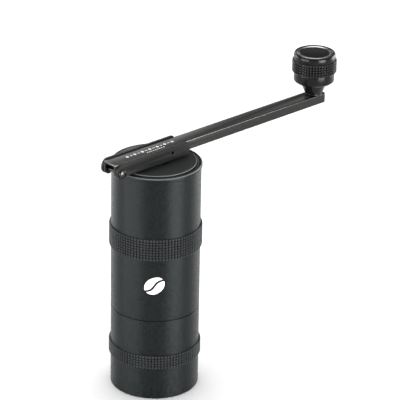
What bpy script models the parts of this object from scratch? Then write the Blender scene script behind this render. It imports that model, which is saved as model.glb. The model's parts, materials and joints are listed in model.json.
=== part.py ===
"""Slim hand crank coffee grinder with a folding handle.

Units are metres and +Z is up. The grinder stands on z = 0 with the tube's axis on Z.
The handle points along +X at rest. It folds on a cross pin at the -X edge of the lid.
"""
import math

import bmesh
import bpy
from mathutils import Matrix

MM = 0.001

# Clearances
GAP = 0.3 * MM
RUNNING = 0.15 * MM

# Facets round a full turn (all divide by twelve, for hexagons and lobes)
FINE = 36
MEDIUM = 24
COARSE = 12
SHARP_ANGLE = math.radians(32)

# Outer tube, cup and their raised grip bands
TUBE_R = 25.0 * MM
BAND_R = 26.05 * MM
BAND_CHAMFER = 0.25 * MM
EDGE = 0.3 * MM
FOOT_CHAMFER = 0.6 * MM
CUP_FLOOR = 2.6 * MM
CUP_BORE_R = 22.7 * MM
CUP_TOP = 48.6 * MM
CUP_BAND = (19.2 * MM, 27.0 * MM)
BODY_BAND = (86.4 * MM, 99.0 * MM)
BODY_BOTTOM = CUP_TOP + GAP
BODY_TOP = 135.5 * MM
LIP_R = 25.55 * MM
LIP_HEIGHT = 2.1 * MM
LIP_INNER_R = 23.4 * MM
HOPPER_R = 22.8 * MM
FUNNEL_TOP = 72.5 * MM
FUNNEL_R = 18.6 * MM
BURR_SHOULDER = 66.0 * MM
BURR_BORE_R = 20.6 * MM
SKIRT_R = CUP_BORE_R - GAP
SKIRT_BOTTOM = 40.2 * MM
SEAL_SEAT_R = 23.9 * MM
SEAL_SEAT_DEPTH = 1.0 * MM

# Grinding train, all on the tube's axis
SHAFT_R = 3.0 * MM
SHAFT_BOTTOM = 41.6 * MM
SHAFT_HEX_BOTTOM = 125.6 * MM
SHAFT_TOP = 131.5 * MM
SHAFT_HEX_APOTHEM = 2.5 * MM
SHAFT_GROOVE_R = 2.6 * MM
BRIDGE_RING_R = HOPPER_R - GAP
BRIDGE_RING_WALL = 1.8 * MM
BRIDGE_HUB_R = 8.8 * MM
SPOKE_WIDTH = 3.6 * MM
SPOKE_HEIGHT = 4.0 * MM
SPOKE_ANGLES = (60, 180, 300)
LOWER_BRIDGE_BOTTOM = 77.0 * MM
UPPER_BRIDGE_BOTTOM = 117.0 * MM
BRIDGE_HEIGHT = 6.0 * MM
BEARING_R = 6.5 * MM
BEARING_HEIGHT = 4.6 * MM
OUTER_BURR_R = BURR_BORE_R - GAP
OUTER_BURR_BOTTOM = 50.5 * MM
OUTER_BURR_TOP = BURR_SHOULDER - GAP
OUTER_BURR_MOUTH_R = 15.5 * MM
OUTER_BURR_EXIT_R = 19.2 * MM
LOCK_RING_HEIGHT = 2.8 * MM
LOCK_RING_WALL = 0.7 * MM
INNER_BURR_BOTTOM = 51.0 * MM
INNER_BURR_TOP = 67.0 * MM
INNER_BURR_R = 18.6 * MM
CLICK_PLATE = (49.9 * MM, 50.7 * MM)
DIAL = (44.0 * MM, 49.6 * MM)
DIAL_R = 8.5 * MM
DIAL_LOBES = 12
SPRING = (67.4 * MM, 75.6 * MM)
SPRING_COIL_R = 4.9 * MM
SPRING_WIRE_R = 0.5 * MM
SPRING_TURNS = 4

# Lid and the turning socket below the handle
LID_R = 22.4 * MM
LID_TOP = 136.1 * MM
LID_RIM = 3.0 * MM
LID_PLUG_R = 22.2 * MM
LID_BOTTOM = 129.2 * MM
O_RING = (130.7 * MM, 131.9 * MM)
O_RING_SEAT_R = 21.0 * MM
SOCKET_R = 5.5 * MM
SOCKET_BOTTOM = 126.6 * MM
SOCKET_TOP = 136.4 * MM
SOCKET_HEX_APOTHEM = 2.8 * MM
SOCKET_HEX_TOP = 132.0 * MM
SOCKET_GROOVE = (127.6 * MM, 128.6 * MM)
SOCKET_GROOVE_R = 4.9 * MM
BUSH_R = 7.3 * MM

# Handle bracket, cross pin and arm
PIVOT_X = -31.2 * MM
PIVOT_Z = 138.9 * MM
BRACKET_HALF = 6.8 * MM
BRACKET_INNER_HALF = 5.1 * MM
BRACKET_BOTTOM = 136.7 * MM
BRACKET_FLOOR_TOP = 138.25 * MM
BRACKET_TOP = 144.2 * MM
BRACKET_RIGHT = 18.6 * MM
BRACKET_FLOOR_LEFT = -25.0 * MM
BRACKET_CORNER_R = 2.4 * MM
LUG_R = 3.2 * MM
LUG_TOP_R = 4.2 * MM
DETENT_X = 6.0 * MM
DETENT_Z = 140.8 * MM
DETENT_HOLE_R = 0.9 * MM
PIN_R = 1.4 * MM
PIN_HEAD_R = 2.35 * MM
PIN_HEAD_HEIGHT = 1.3 * MM
ARM_HALF = 4.8 * MM
ARM_BOTTOM = 138.55 * MM
ARM_TOP = 143.7 * MM
ARM_LEFT = PIVOT_X - 3.1 * MM
ARM_POCKET_RIGHT = -19.0 * MM
ARM_POCKET_HALF = 3.6 * MM
ARM_PLATE = 1.0 * MM
ARM_RIGHT = 128.2 * MM
ARM_CORNER = 1.4 * MM

# Knob and its stem
KNOB_X = 122.0 * MM
STEM_R = 3.0 * MM
STEM_SHANK_R = 2.5 * MM
STEM_RIVET_R = 3.6 * MM
STEM_TOP = 163.0 * MM
STEM_COLLAR_R = 5.0 * MM
KNOB_BOTTOM = 145.1 * MM
KNOB_NECK_R = 5.3 * MM
KNOB_NECK_TOP_R = 7.4 * MM
KNOB_SKIRT_BOTTOM = 151.6 * MM
KNOB_SHELL_R = 11.75 * MM
KNOB_SHELL_TOP = 157.6 * MM
KNOB_GRIP_R = 12.85 * MM
KNOB_SPIGOT_R = 8.5 * MM
KNOB_SPIGOT_TOP = 165.6 * MM
KNOB_CAP_R = 12.05 * MM
KNOB_TOP = 169.6 * MM
KNOB_CAP_ROUND = 2.0 * MM
KNOB_DISC_R = 7.8 * MM
KNOB_DISC_DEPTH = 0.6 * MM
KNOB_BORE_R = 4.6 * MM
KNOB_WELL_R = 6.5 * MM
KNOB_WELL_BOTTOM = 163.0 * MM


def clear_scene():
    for item in list(bpy.data.objects):
        bpy.data.objects.remove(item, do_unlink=True)


def make_material(name, colour, roughness, metallic):
    material = bpy.data.materials.new(name)
    material.use_nodes = True
    shader = material.node_tree.nodes["Principled BSDF"]
    shader.inputs["Base Color"].default_value = (*colour, 1.0)
    shader.inputs["Roughness"].default_value = roughness
    shader.inputs["Metallic"].default_value = metallic
    return material


def make_empty(name, location, parent=None):
    """An empty at a world position, which it keeps whatever its parent."""
    empty = bpy.data.objects.new(name, None)
    empty.empty_display_size = 0.01
    empty.location = location
    if parent is not None:
        empty.parent = parent
        empty.matrix_parent_inverse = Matrix.Translation(parent.location).inverted()
    bpy.context.collection.objects.link(empty)
    return empty


def link_mesh(name, bm, material=None, group=None):
    """Put a finished bmesh in the scene, riding on its group's empty."""
    bmesh.ops.recalc_face_normals(bm, faces=bm.faces)
    mesh = bpy.data.meshes.new(name)
    bm.to_mesh(mesh)
    bm.free()
    mesh.shade_smooth()
    mesh.set_sharp_from_angle(angle=SHARP_ANGLE)
    piece = bpy.data.objects.new(name, mesh)
    bpy.context.collection.objects.link(piece)
    if material is not None:
        mesh.materials.append(material)
    if group is not None:
        piece.parent = group
        piece.matrix_parent_inverse = Matrix.Translation(group.location).inverted()
    return piece


def regular(sides):
    """A radius factor that turns a circle of the apothem's radius into a polygon."""
    sector = 2 * math.pi / sides
    return lambda angle: 1 / math.cos((angle + sector / 2) % sector - sector / 2)


def lobed(lobes, depth):
    """A radius factor that presses shallow finger grooves into a rim."""
    return lambda angle: 1 - depth * (0.5 + 0.5 * math.cos(lobes * angle))


def turned(name, profile, segments, material=None, group=None, place=None):
    """Turn a closed (radius, height) outline round the axis. A third value shapes that ring.

    Where two neighbouring points lie on the axis, the outline closes there without a face.
    """
    bm = bmesh.new()
    rings = []
    for radius, height, *shape in profile:
        if radius == 0:
            rings.append([bm.verts.new((0, 0, height))])
            continue
        ring = []
        for step in range(segments):
            angle = 2 * math.pi * step / segments
            reach = radius * (shape[0](angle) if shape else 1)
            ring.append(bm.verts.new((reach * math.cos(angle), reach * math.sin(angle), height)))
        rings.append(ring)
    for ring, following in zip(rings, rings[1:] + rings[:1]):
        for step in range(segments):
            after = (step + 1) % segments
            corners = [ring[step % len(ring)], ring[after % len(ring)],
                       following[after % len(following)], following[step % len(following)]]
            corners = list(dict.fromkeys(corners))
            if len(corners) > 2:
                bm.faces.new(corners)
    if place is not None:
        bm.transform(place)
    return link_mesh(name, bm, material, group)


def arc(centre, radius, start, end, steps):
    """Points along an arc, in degrees, as (across, up) pairs."""
    points = []
    for step in range(steps + 1):
        angle = math.radians(start + (end - start) * step / steps)
        points.append((centre[0] + radius * math.cos(angle), centre[1] + radius * math.sin(angle)))
    return points


def prism(name, outline, low, high, axis, material=None, group=None):
    """Extrude an outline along Y (outline in X, Z) or along Z (outline in X, Y)."""
    bm = bmesh.new()

    def corner(point, level):
        if axis == "Y":
            return bm.verts.new((point[0], level, point[1]))
        return bm.verts.new((point[0], point[1], level))

    near = [corner(point, low) for point in outline]
    far = [corner(point, high) for point in outline]
    bm.faces.new(near)
    bm.faces.new(list(reversed(far)))
    for index in range(len(outline)):
        after = (index + 1) % len(outline)
        bm.faces.new((near[index], near[after], far[after], far[index]))
    return link_mesh(name, bm, material, group)


def block(name, low, high):
    outline = [(low[0], low[1]), (high[0], low[1]), (high[0], high[1]), (low[0], high[1])]
    return prism(name, outline, low[2], high[2], "Z")


def rod(name, radius, low, high, place, segments=COARSE):
    return turned(name, [(0, low), (radius, low), (radius, high), (0, high)], segments, place=place)


def combine(piece, tool, operation="DIFFERENCE"):
    """Cut, join or trim a piece with a tool that the model itself leaves out."""
    modifier = piece.modifiers.new(tool.name, "BOOLEAN")
    modifier.operation = operation
    modifier.solver = "EXACT"
    modifier.object = tool
    tool.hide_render = True
    tool.display_type = "WIRE"


def across(x, z):
    """A place whose own axis runs towards -Y, through (x, z)."""
    return Matrix.Translation((x, 0, z)) @ Matrix.Rotation(math.pi / 2, 4, "X")


def upright(x):
    return Matrix.Translation((x, 0, 0))


def band(low, high):
    """Outline of a raised grip band, from its lower edge to its upper one."""
    return [
        (TUBE_R, low),
        (BAND_R - BAND_CHAMFER, low),
        (BAND_R, low + BAND_CHAMFER),
        (BAND_R, high - BAND_CHAMFER),
        (BAND_R - BAND_CHAMFER, high),
        (TUBE_R, high),
    ]


def ring(name, inner, outer, low, high, segments, material, group):
    profile = [(inner, low), (outer, low), (outer, high), (inner, high)]
    return turned(name, profile, segments, material, group)


def build_cup(finish, group):
    seat_bottom = CUP_TOP - SEAL_SEAT_DEPTH
    profile = [(0, 0), (TUBE_R - FOOT_CHAMFER, 0), (TUBE_R, FOOT_CHAMFER)]
    profile += band(*CUP_BAND)
    profile += [
        (TUBE_R, CUP_TOP - EDGE),
        (TUBE_R - EDGE, CUP_TOP),
        (SEAL_SEAT_R, CUP_TOP),
        (SEAL_SEAT_R, seat_bottom),
        (CUP_BORE_R, seat_bottom),
        (CUP_BORE_R, CUP_FLOOR + 0.6 * MM),
        (CUP_BORE_R - 0.6 * MM, CUP_FLOOR),
        (0, CUP_FLOOR),
    ]
    turned("cup", profile, FINE, finish["anodised"], group)


def build_cup_seal(finish, group):
    low = CUP_TOP - SEAL_SEAT_DEPTH + GAP
    inner = SKIRT_R + GAP + 0.05 * MM
    outer = SEAL_SEAT_R - GAP - 0.05 * MM
    ring("cup_seal", inner, outer, low, CUP_TOP, FINE, finish["rubber"], group)


def build_body_tube(finish, group):
    lip_bottom = BODY_TOP - LIP_HEIGHT
    profile = [
        (SKIRT_R - EDGE, SKIRT_BOTTOM),
        (SKIRT_R, SKIRT_BOTTOM + EDGE),
        (SKIRT_R, BODY_BOTTOM),
        (TUBE_R - EDGE, BODY_BOTTOM),
        (TUBE_R, BODY_BOTTOM + EDGE),
    ]
    profile += band(*BODY_BAND)
    profile += [
        (TUBE_R, lip_bottom - 0.3 * MM),
        (LIP_R, lip_bottom + 0.2 * MM),
        (LIP_R, BODY_TOP - 0.5 * MM),
        (LIP_R - 0.5 * MM, BODY_TOP),
        (LIP_INNER_R, BODY_TOP),
        (HOPPER_R, BODY_TOP - 0.6 * MM),
        (HOPPER_R, FUNNEL_TOP),
        (FUNNEL_R, BURR_SHOULDER + 1.5 * MM),
        (FUNNEL_R, BURR_SHOULDER),
        (BURR_BORE_R, BURR_SHOULDER),
        (BURR_BORE_R, SKIRT_BOTTOM),
    ]
    turned("body_tube", profile, FINE, finish["anodised"], group)


def build_outer_burr(finish, group):
    bottom_ring = OUTER_BURR_BOTTOM - GAP
    profile = [
        (OUTER_BURR_EXIT_R, OUTER_BURR_BOTTOM),
        (OUTER_BURR_R, OUTER_BURR_BOTTOM),
        (OUTER_BURR_R, OUTER_BURR_TOP),
        (OUTER_BURR_MOUTH_R + 1.2 * MM, OUTER_BURR_TOP),
        (OUTER_BURR_MOUTH_R, OUTER_BURR_TOP - 1.5 * MM),
    ]
    turned("outer_burr", profile, FINE, finish["burr_steel"], group)
    ring("burr_lock_ring", OUTER_BURR_R - LOCK_RING_WALL, OUTER_BURR_R,
         bottom_ring - LOCK_RING_HEIGHT, bottom_ring, FINE, finish["steel"], group)


def build_bridge(name, bottom, finish, group):
    """A three-spoked bridge that holds a shaft bearing in the middle of the hopper."""
    top = bottom + BRIDGE_HEIGHT
    seat_top = bottom + BEARING_HEIGHT + 2 * GAP
    seat_r = BEARING_R + GAP
    hub = [(seat_r, bottom), (BRIDGE_HUB_R, bottom), (BRIDGE_HUB_R, top - MM), (BRIDGE_HUB_R - MM, top),
           (4.6 * MM, top), (4.6 * MM, seat_top), (seat_r, seat_top)]
    bridge = turned(name, hub, MEDIUM, finish["cast"], group)
    rim = ring(name + "_rim", BRIDGE_RING_R - BRIDGE_RING_WALL, BRIDGE_RING_R,
               bottom, bottom + SPOKE_HEIGHT, FINE, None, None)
    for number, angle in enumerate(SPOKE_ANGLES):
        spoke = block(f"{name}_spoke_{number + 1}", (BRIDGE_HUB_R - MM, -SPOKE_WIDTH / 2, bottom + 0.2 * MM),
                      (BRIDGE_RING_R - 0.5 * MM, SPOKE_WIDTH / 2, bottom + SPOKE_HEIGHT - 0.2 * MM))
        spoke.rotation_euler.z = math.radians(angle)
        combine(bridge, spoke, "UNION")
    combine(bridge, rim, "UNION")


def build_bearing(name, bridge_bottom, finish, group):
    low = bridge_bottom + GAP
    high = low + BEARING_HEIGHT
    bore = SHAFT_R + RUNNING
    shield = 0.35 * MM
    profile = [
        (bore, low), (bore + 0.9 * MM, low), (bore + MM, low + shield),
        (BEARING_R - 0.9 * MM, low + shield), (BEARING_R - 0.8 * MM, low), (BEARING_R, low),
        (BEARING_R, high), (BEARING_R - 0.8 * MM, high), (BEARING_R - 0.9 * MM, high - shield),
        (bore + MM, high - shield), (bore + 0.9 * MM, high), (bore, high),
    ]
    turned(name, profile, MEDIUM, finish["steel"], group)


def build_drive_shaft(finish, group):
    hexagon = regular(6)
    clip_low = UPPER_BRIDGE_BOTTOM + BRIDGE_HEIGHT + GAP
    clip_high = clip_low + MM
    profile = [
        (0, SHAFT_BOTTOM), (SHAFT_R - 0.6 * MM, SHAFT_BOTTOM), (SHAFT_R, SHAFT_BOTTOM + 0.6 * MM),
        (SHAFT_R, clip_low), (SHAFT_GROOVE_R, clip_low), (SHAFT_GROOVE_R, clip_high), (SHAFT_R, clip_high),
        (SHAFT_R, SHAFT_HEX_BOTTOM), (SHAFT_HEX_APOTHEM, SHAFT_HEX_BOTTOM + 0.1 * MM, hexagon),
        (SHAFT_HEX_APOTHEM, SHAFT_TOP - 0.5 * MM, hexagon), (SHAFT_HEX_APOTHEM - 0.4 * MM, SHAFT_TOP),
        (0, SHAFT_TOP),
    ]
    turned("drive_shaft", profile, MEDIUM, finish["steel"], group)
    ring("shaft_clip", SHAFT_GROOVE_R + 0.2 * MM, 5.0 * MM, clip_low + 0.15 * MM, clip_high - 0.15 * MM,
         MEDIUM, finish["spring_steel"], group)
    ring("spring_washer", SHAFT_R + GAP, 5.9 * MM, SPRING[1] + GAP, SPRING[1] + MM,
         MEDIUM, finish["steel"], group)


def build_burr_spring(finish, group):
    """A round wire wound round the shaft, as one closed tube with capped ends."""
    sides = 6
    steps = SPRING_TURNS * 12
    low = SPRING[0] + SPRING_WIRE_R
    rise = SPRING[1] - SPRING[0] - 2 * SPRING_WIRE_R
    bm = bmesh.new()
    loops = []
    for step in range(steps + 1):
        turn = 2 * math.pi * SPRING_TURNS * step / steps
        height = low + rise * step / steps
        loop = []
        for side in range(sides):
            angle = 2 * math.pi * side / sides
            reach = SPRING_COIL_R + SPRING_WIRE_R * math.cos(angle)
            level = height + SPRING_WIRE_R * math.sin(angle)
            loop.append(bm.verts.new((reach * math.cos(turn), reach * math.sin(turn), level)))
        loops.append(loop)
    for loop, following in zip(loops, loops[1:]):
        for side in range(sides):
            after = (side + 1) % sides
            bm.faces.new((loop[side], loop[after], following[after], following[side]))
    bm.faces.new(list(reversed(loops[0])))
    bm.faces.new(loops[-1])
    link_mesh("burr_spring", bm, finish["spring_steel"], group)


def build_inner_burr(finish, group):
    bore = SHAFT_R + GAP
    profile = [
        (bore, INNER_BURR_BOTTOM), (INNER_BURR_R - 0.3 * MM, INNER_BURR_BOTTOM),
        (INNER_BURR_R, INNER_BURR_BOTTOM + 0.4 * MM), (12.6 * MM, 60.0 * MM), (7.4 * MM, 66.2 * MM),
        (6.6 * MM, INNER_BURR_TOP), (bore, INNER_BURR_TOP),
    ]
    turned("inner_burr", profile, FINE, finish["burr_steel"], group)
    ring("click_plate", bore, 8.0 * MM, *CLICK_PLATE, MEDIUM, finish["steel"], group)


def build_adjusting_dial(finish, group):
    bore = SHAFT_R + GAP
    grooves = lobed(DIAL_LOBES, 0.08)
    low, high = DIAL
    profile = [
        (bore, low), (DIAL_R - MM, low), (DIAL_R, low + 0.8 * MM, grooves),
        (DIAL_R, high - 0.5 * MM, grooves), (DIAL_R - 0.6 * MM, high, grooves), (bore, high),
    ]
    turned("adjusting_dial", profile, FINE, finish["brass"], group)


def build_lid(finish, group):
    rim_bottom = LID_TOP - LID_RIM
    bore = BUSH_R + GAP
    profile = [
        (bore, LID_BOTTOM), (LID_PLUG_R - EDGE, LID_BOTTOM), (LID_PLUG_R, LID_BOTTOM + EDGE),
        (LID_PLUG_R, O_RING[0] - GAP), (O_RING_SEAT_R, O_RING[0] - GAP), (O_RING_SEAT_R, O_RING[1] + GAP),
        (LID_PLUG_R, O_RING[1] + GAP), (LID_PLUG_R, rim_bottom), (LID_R, rim_bottom + 0.1 * MM),
        (LID_R, LID_TOP - EDGE), (LID_R - EDGE, LID_TOP), (bore, LID_TOP),
    ]
    turned("lid_disc", profile, FINE, finish["satin"], group)
    ring("lid_o_ring", O_RING_SEAT_R + GAP, HOPPER_R - GAP, *O_RING, FINE, finish["rubber"], group)
    ring("lid_bush", SOCKET_R + RUNNING, BUSH_R, LID_BOTTOM - GAP, LID_TOP - 2 * GAP,
         MEDIUM, finish["bronze"], group)


def build_drive_socket(finish, group):
    hexagon = regular(6)
    groove_low, groove_high = SOCKET_GROOVE
    screw_r = 2.0 * MM + GAP
    profile = [
        (SOCKET_HEX_APOTHEM, SOCKET_BOTTOM, hexagon), (SOCKET_R - 0.4 * MM, SOCKET_BOTTOM),
        (SOCKET_R, SOCKET_BOTTOM + 0.4 * MM), (SOCKET_R, groove_low), (SOCKET_GROOVE_R, groove_low),
        (SOCKET_GROOVE_R, groove_high), (SOCKET_R, groove_high), (SOCKET_R, SOCKET_TOP),
        (screw_r, SOCKET_TOP), (screw_r, SOCKET_HEX_TOP + 0.8 * MM), (0, SOCKET_HEX_TOP + 0.8 * MM),
        (0, SOCKET_HEX_TOP), (SOCKET_HEX_APOTHEM, SOCKET_HEX_TOP, hexagon),
    ]
    turned("drive_socket", profile, MEDIUM, finish["steel"], group)
    ring("socket_clip", SOCKET_GROOVE_R + 0.2 * MM, 7.4 * MM, groove_low + 0.2 * MM, groove_high - 0.2 * MM,
         MEDIUM, finish["spring_steel"], group)


def build_crank_bracket(finish, group):
    """A U channel with two lugs that stand out past the tube and carry the cross pin."""
    right = BRACKET_RIGHT
    corner = BRACKET_CORNER_R
    outline = arc((right - corner, BRACKET_TOP - corner), corner, 0, 90, 6)
    outline += arc((PIVOT_X - LUG_R + LUG_TOP_R, BRACKET_TOP - LUG_TOP_R), LUG_TOP_R, 90, 180, 8)
    outline += arc((PIVOT_X, PIVOT_Z), LUG_R, 180, 270, 8)
    outline += [(PIVOT_X + LUG_R, BRACKET_BOTTOM), (right - 0.6 * MM, BRACKET_BOTTOM),
                (right, BRACKET_BOTTOM + 0.6 * MM)]
    bracket = prism("crank_bracket", outline, -BRACKET_HALF, BRACKET_HALF, "Y", finish["matte"], group)
    reach = 0.05
    combine(bracket, block("channel_cut", (-reach, -BRACKET_INNER_HALF, BRACKET_FLOOR_TOP),
                           (reach, BRACKET_INNER_HALF, BRACKET_TOP + MM)))
    combine(bracket, block("heel_cut", (-reach, -BRACKET_INNER_HALF, BRACKET_BOTTOM - 3 * MM),
                           (BRACKET_FLOOR_LEFT, BRACKET_INNER_HALF, BRACKET_TOP)))
    combine(bracket, rod("cross_pin_cut", PIN_R + GAP, -0.02, 0.02, across(PIVOT_X, PIVOT_Z)))
    combine(bracket, rod("detent_cut", DETENT_HOLE_R, BRACKET_INNER_HALF - MM, BRACKET_HALF + MM,
                         across(DETENT_X, DETENT_Z)))
    combine(bracket, rod("bracket_screw_cut", 2.0 * MM + GAP, BRACKET_BOTTOM - MM, BRACKET_FLOOR_TOP + MM,
                         upright(0)))


def build_bracket_screw(finish, group):
    """The screw that clamps the bracket to the socket, with its head lying in the channel's floor."""
    profile = [
        (0, SOCKET_HEX_TOP + 1.2 * MM), (1.7 * MM, SOCKET_HEX_TOP + 1.2 * MM),
        (2.0 * MM, SOCKET_HEX_TOP + 1.6 * MM), (2.0 * MM, BRACKET_FLOOR_TOP - 0.1 * MM),
        (0, BRACKET_FLOOR_TOP - 0.1 * MM),
    ]
    turned("bracket_screw", profile, COARSE, finish["steel"], group)


def build_cross_pin(finish, group):
    """The screw that the arm folds on, and its domed nut on the far side."""
    place = across(PIVOT_X, PIVOT_Z)
    under_head = BRACKET_HALF + GAP
    top = under_head + PIN_HEAD_HEIGHT
    dome = [(PIN_HEAD_R, top - 0.7 * MM), (PIN_HEAD_R - 0.45 * MM, top - 0.2 * MM), (0, top)]
    screw = [(0, -top + 0.7 * MM), (PIN_R, -top + 0.7 * MM), (PIN_R, under_head), (PIN_HEAD_R, under_head)]
    turned("pivot_screw", screw + dome, COARSE, finish["steel"], group, place)
    well = PIN_R + GAP
    nut = [(well, under_head), (PIN_HEAD_R, under_head)] + dome
    nut += [(0, top - 0.4 * MM), (well, top - 0.4 * MM)]
    far_side = place @ Matrix.Rotation(math.pi, 4, "X")
    turned("pivot_nut", nut, COARSE, finish["steel"], group, far_side)


def build_crank_arm(finish, group):
    """A flat bar with a milled pocket at the pinned end, whose side walls end in two ears."""
    ear_r = PIVOT_X - ARM_LEFT
    outline = [(ARM_RIGHT, ARM_BOTTOM), (ARM_RIGHT, ARM_TOP), (ARM_LEFT, ARM_TOP)]
    outline += arc((PIVOT_X, PIVOT_Z), ear_r, 180, 350, 16)
    arm = prism("crank_arm", outline, -ARM_HALF, ARM_HALF, "Y", finish["gunmetal"], group)
    corner_x, corner_y = ARM_RIGHT - ARM_CORNER, ARM_HALF - ARM_CORNER
    plan = [(ARM_LEFT - MM, ARM_HALF + MM), (ARM_LEFT - MM, -ARM_HALF - MM), (corner_x, -ARM_HALF - MM)]
    plan += arc((corner_x, -corner_y), ARM_CORNER, -90, 0, 6)
    plan += arc((corner_x, corner_y), ARM_CORNER, 0, 90, 6)
    plan += [(corner_x, ARM_HALF + MM)]
    combine(arm, prism("arm_plan", plan, ARM_BOTTOM - 0.01, ARM_TOP + MM, "Z"), "INTERSECT")
    combine(arm, block("arm_pocket_cut", (ARM_LEFT - MM, -ARM_POCKET_HALF, ARM_BOTTOM - 0.01),
                       (ARM_POCKET_RIGHT, ARM_POCKET_HALF, ARM_TOP - ARM_PLATE)))
    combine(arm, rod("arm_pin_cut", PIN_R + RUNNING, -0.02, 0.02, across(PIVOT_X, PIVOT_Z)))
    combine(arm, rod("arm_detent_cut", 1.3 * MM, 0.4 * MM, ARM_HALF + MM, across(DETENT_X, DETENT_Z)))
    combine(arm, rod("arm_stem_cut", STEM_SHANK_R + GAP, ARM_BOTTOM - MM, ARM_TOP + MM, upright(KNOB_X)))
    combine(arm, rod("arm_rivet_cut", STEM_RIVET_R + GAP, ARM_BOTTOM - MM, ARM_BOTTOM + 1.3 * MM,
                     upright(KNOB_X)))


def build_detent(finish, group):
    """A spring-loaded ball in the arm's side that clicks into the bracket's small hole."""
    place = across(DETENT_X, DETENT_Z)
    ball_r = 1.0 * MM
    ball_at = 4.0 * MM
    poles = [(0, ball_at - ball_r)] + arc((0, ball_at), ball_r, -60, 60, 4) + [(0, ball_at + ball_r)]
    turned("detent_ball", poles, COARSE, finish["steel"], group, place)
    spring = [(0.55 * MM, 0.8 * MM), (0.95 * MM, 0.8 * MM), (0.95 * MM, 2.7 * MM), (0.55 * MM, 2.7 * MM)]
    turned("detent_spring", spring, COARSE, finish["spring_steel"], group, place)


def build_knob_stem(finish, group):
    place = upright(KNOB_X)
    well = 1.5 * MM
    collar = (ARM_TOP + GAP, ARM_TOP + 1.1 * MM)
    profile = [
        (0, ARM_BOTTOM + 0.1 * MM), (STEM_RIVET_R, ARM_BOTTOM + 0.1 * MM), (STEM_RIVET_R, ARM_BOTTOM + MM),
        (STEM_SHANK_R, ARM_BOTTOM + MM), (STEM_SHANK_R, collar[0]), (STEM_COLLAR_R, collar[0]),
        (STEM_COLLAR_R, collar[1]), (STEM_R, collar[1]), (STEM_R, STEM_TOP), (well, STEM_TOP),
        (well, STEM_TOP - 5 * MM), (0, STEM_TOP - 5 * MM),
    ]
    turned("knob_stem", profile, MEDIUM, finish["steel"], group, place)
    head = (STEM_TOP + GAP, STEM_TOP + 1.8 * MM)
    screw = [
        (0, STEM_TOP - 4.5 * MM), (1.2 * MM, STEM_TOP - 4.5 * MM), (1.2 * MM, head[0]), (4.2 * MM, head[0]),
        (4.2 * MM, head[1] - 0.4 * MM), (3.8 * MM, head[1]), (0, head[1]),
    ]
    turned("stem_screw", screw, MEDIUM, finish["steel"], group, place)


def build_knob(finish, group):
    place = upright(KNOB_X)
    shell = [
        (KNOB_BORE_R, KNOB_BOTTOM), (KNOB_NECK_R, KNOB_BOTTOM),
        (KNOB_NECK_TOP_R, KNOB_SKIRT_BOTTOM - 1.2 * MM),
        (KNOB_SHELL_R - MM, KNOB_SKIRT_BOTTOM), (KNOB_SHELL_R, KNOB_SKIRT_BOTTOM + MM),
        (KNOB_SHELL_R, KNOB_SHELL_TOP), (KNOB_SPIGOT_R, KNOB_SHELL_TOP),
        (KNOB_SPIGOT_R, KNOB_SPIGOT_TOP), (KNOB_WELL_R, KNOB_SPIGOT_TOP), (KNOB_WELL_R, KNOB_WELL_BOTTOM),
        (KNOB_BORE_R, KNOB_WELL_BOTTOM),
    ]
    turned("knob_shell", shell, MEDIUM, finish["gloss"], group, place)
    bush = [(STEM_R + RUNNING, KNOB_BOTTOM + GAP), (KNOB_BORE_R - GAP, KNOB_BOTTOM + GAP),
            (KNOB_BORE_R - GAP, STEM_TOP - GAP), (STEM_R + RUNNING, STEM_TOP - GAP)]
    turned("knob_bush", bush, MEDIUM, finish["bronze"], group, place)
    grip_low = KNOB_SHELL_TOP + GAP
    grip_high = KNOB_SPIGOT_TOP - GAP
    grip = [
        (KNOB_SPIGOT_R + GAP, grip_low), (KNOB_GRIP_R - 0.4 * MM, grip_low),
        (KNOB_GRIP_R, grip_low + 0.4 * MM), (KNOB_GRIP_R, grip_high - 0.4 * MM),
        (KNOB_GRIP_R - 0.4 * MM, grip_high), (KNOB_SPIGOT_R + GAP, grip_high),
    ]
    turned("knob_grip", grip, FINE, finish["gloss"], group, place)
    build_knob_cap(finish, group, place)


def build_knob_cap(finish, group, place):
    plate_low = KNOB_SPIGOT_TOP + GAP
    skirt = (KNOB_WELL_R - 1.3 * MM, KNOB_WELL_R - GAP)
    skirt_low = KNOB_WELL_BOTTOM + GAP
    disc_top = KNOB_TOP - KNOB_DISC_DEPTH
    seat_floor = disc_top - 0.6 * MM
    centre = (KNOB_CAP_R - KNOB_CAP_ROUND, KNOB_TOP - KNOB_CAP_ROUND)
    cap = [(skirt[0], skirt_low), (skirt[1], skirt_low), (skirt[1], plate_low),
           (KNOB_CAP_R, plate_low)]
    cap += arc(centre, KNOB_CAP_ROUND, 0, 90, 5)
    cap += [(KNOB_DISC_R + GAP, disc_top + 0.1 * MM), (KNOB_DISC_R + GAP, seat_floor), (0, seat_floor),
            (0, plate_low + MM), (skirt[0], plate_low + MM)]
    turned("knob_cap", cap, MEDIUM, finish["gloss"], group, place)
    disc_low = seat_floor + GAP
    disc = [(0, disc_low), (KNOB_DISC_R, disc_low), (KNOB_DISC_R, disc_top), (0, disc_top)]
    turned("knob_disc", disc, MEDIUM, finish["disc"], group, place)


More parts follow.
